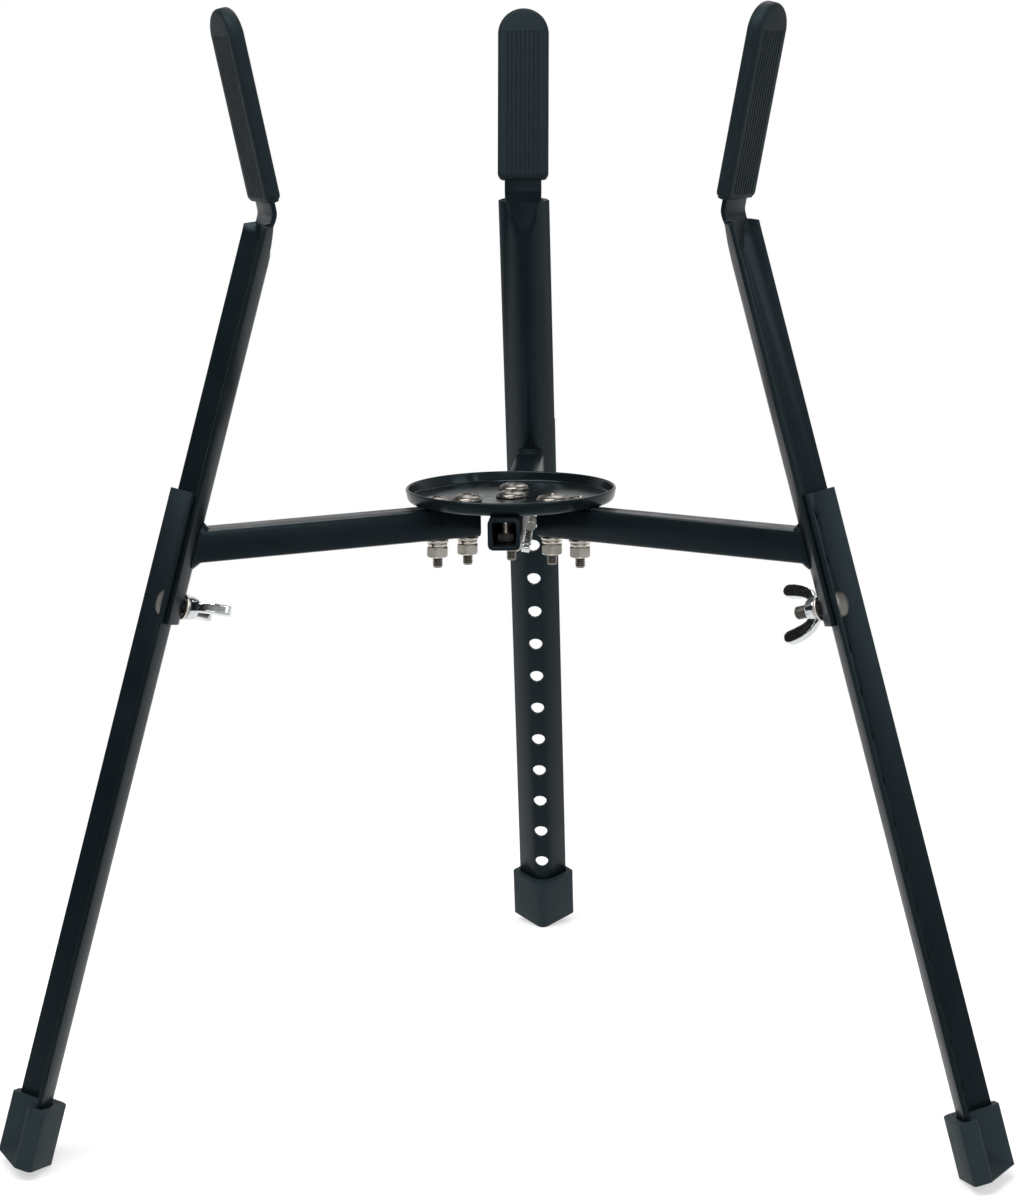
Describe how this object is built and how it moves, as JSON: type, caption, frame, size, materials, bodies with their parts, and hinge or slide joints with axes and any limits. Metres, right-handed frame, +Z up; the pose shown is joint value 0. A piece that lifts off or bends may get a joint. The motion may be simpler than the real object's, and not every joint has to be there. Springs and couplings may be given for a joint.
{
  "type": "conga stand",
  "caption": "Three-legged steel drum stand: padded upright arms on struts round a shallow dish, with legs that slide and clamp by wing nut.",
  "frame": {"origin": "on the floor, under the middle of the bounding box", "axes": "+Z up; +Y towards the rear arm; +X to the right as seen from the front"},
  "size_m": [0.6192, 0.5388, 0.6956],
  "materials": {
    "painted_steel": "satin black paint",
    "gloss_dish": "gloss black paint",
    "moulded_black": "matte moulded black rubber",
    "nickel": "bright nickel plate",
    "bright_chrome": "polished chrome plate"
  },
  "bodies": {
    "frame": {"dish": "gloss_dish", "strut_left": "painted_steel", "strut_right": "painted_steel", "strut_rear": "painted_steel", "arm_left": "painted_steel", "arm_right": "painted_steel", "arm_rear": "painted_steel", "pad_left": "moulded_black", "pad_right": "moulded_black", "pad_rear": "moulded_black", "clamp_bolt_left": "nickel", "clamp_bolt_right": "nickel", "clamp_bolt_rear": "nickel", "dish_screw_left_inner": "nickel", "dish_screw_left_outer": "nickel", "dish_screw_right_inner": "nickel", "dish_screw_right_outer": "nickel", "dish_screw_rear_inner": "nickel", "dish_screw_rear_outer": "nickel", "dish_flat_washer_left_inner": "nickel", "dish_flat_washer_left_outer": "nickel", "dish_flat_washer_right_inner": "nickel", "dish_flat_washer_right_outer": "nickel", "dish_flat_washer_rear_inner": "nickel", "dish_flat_washer_rear_outer": "nickel", "dish_spring_washer_left_inner": "nickel", "dish_spring_washer_left_outer": "nickel", "dish_spring_washer_right_inner": "nickel", "dish_spring_washer_right_outer": "nickel", "dish_spring_washer_rear_inner": "nickel", "dish_spring_washer_rear_outer": "nickel", "dish_nut_left_inner": "nickel", "dish_nut_left_outer": "nickel", "dish_nut_right_inner": "nickel", "dish_nut_right_outer": "nickel", "dish_nut_rear_inner": "nickel", "dish_nut_rear_outer": "nickel", "front_screw": "nickel", "front_nut": "nickel"},
    "leg_left": {"leg_left": "painted_steel", "foot_left": "moulded_black"},
    "clamp_washer_left": {"clamp_washer_left": "nickel"},
    "wing_nut_left": {"wing_nut_left": "bright_chrome"},
    "leg_right": {"leg_right": "painted_steel", "foot_right": "moulded_black"},
    "clamp_washer_right": {"clamp_washer_right": "nickel"},
    "wing_nut_right": {"wing_nut_right": "bright_chrome"},
    "leg_rear": {"leg_rear": "painted_steel", "foot_rear": "moulded_black"},
    "clamp_washer_rear": {"clamp_washer_rear": "nickel"},
    "wing_nut_rear": {"wing_nut_rear": "bright_chrome"}
  },
  "joints": [
    {"name": "leg_slide_left", "type": "slide", "parent": "frame", "child": "leg_left", "axis": [-0.2494, -0.144, -0.9576], "range_m": [-0.136, 0.0272]},
    {"name": "washer_travel_left", "type": "slide", "parent": "frame", "child": "clamp_washer_left", "axis": [0.8293, 0.4788, -0.288], "range_m": [0, 0.01]},
    {"name": "wing_nut_turn_left", "type": "hinge", "parent": "clamp_washer_left", "child": "wing_nut_left", "pos_m": [-0.18927, -0.18801, 0.33825], "axis": [0.8293, 0.4788, -0.288], "range_deg": [0, 2880]},
    {"name": "leg_slide_right", "type": "slide", "parent": "frame", "child": "leg_right", "axis": [0.2494, -0.144, -0.9576], "range_m": [-0.136, 0.0272]},
    {"name": "washer_travel_right", "type": "slide", "parent": "frame", "child": "clamp_washer_right", "axis": [-0.8293, 0.4788, -0.288], "range_m": [0, 0.01]},
    {"name": "wing_nut_turn_right", "type": "hinge", "parent": "clamp_washer_right", "child": "wing_nut_right", "pos_m": [0.18927, -0.18801, 0.33825], "axis": [-0.8293, 0.4788, -0.288], "range_deg": [0, 2880]},
    {"name": "leg_slide_rear", "type": "slide", "parent": "frame", "child": "leg_rear", "axis": [0, 0.288, -0.9576], "range_m": [-0.136, 0.0272]},
    {"name": "washer_travel_rear", "type": "slide", "parent": "frame", "child": "clamp_washer_rear", "axis": [0, -0.9576, -0.288], "range_m": [0, 0.01]},
    {"name": "wing_nut_turn_rear", "type": "hinge", "parent": "clamp_washer_rear", "child": "wing_nut_rear", "pos_m": [0, 0.13982, 0.33825], "axis": [0, -0.9576, -0.288], "range_deg": [0, 2880]}
  ],
  "couplings": [
    {"joint": "washer_travel_left", "follows": "wing_nut_turn_left", "m_per_rad": 0.0001989},
    {"joint": "washer_travel_right", "follows": "wing_nut_turn_right", "m_per_rad": 0.0001989},
    {"joint": "washer_travel_rear", "follows": "wing_nut_turn_rear", "m_per_rad": 0.0001989}
  ]
}
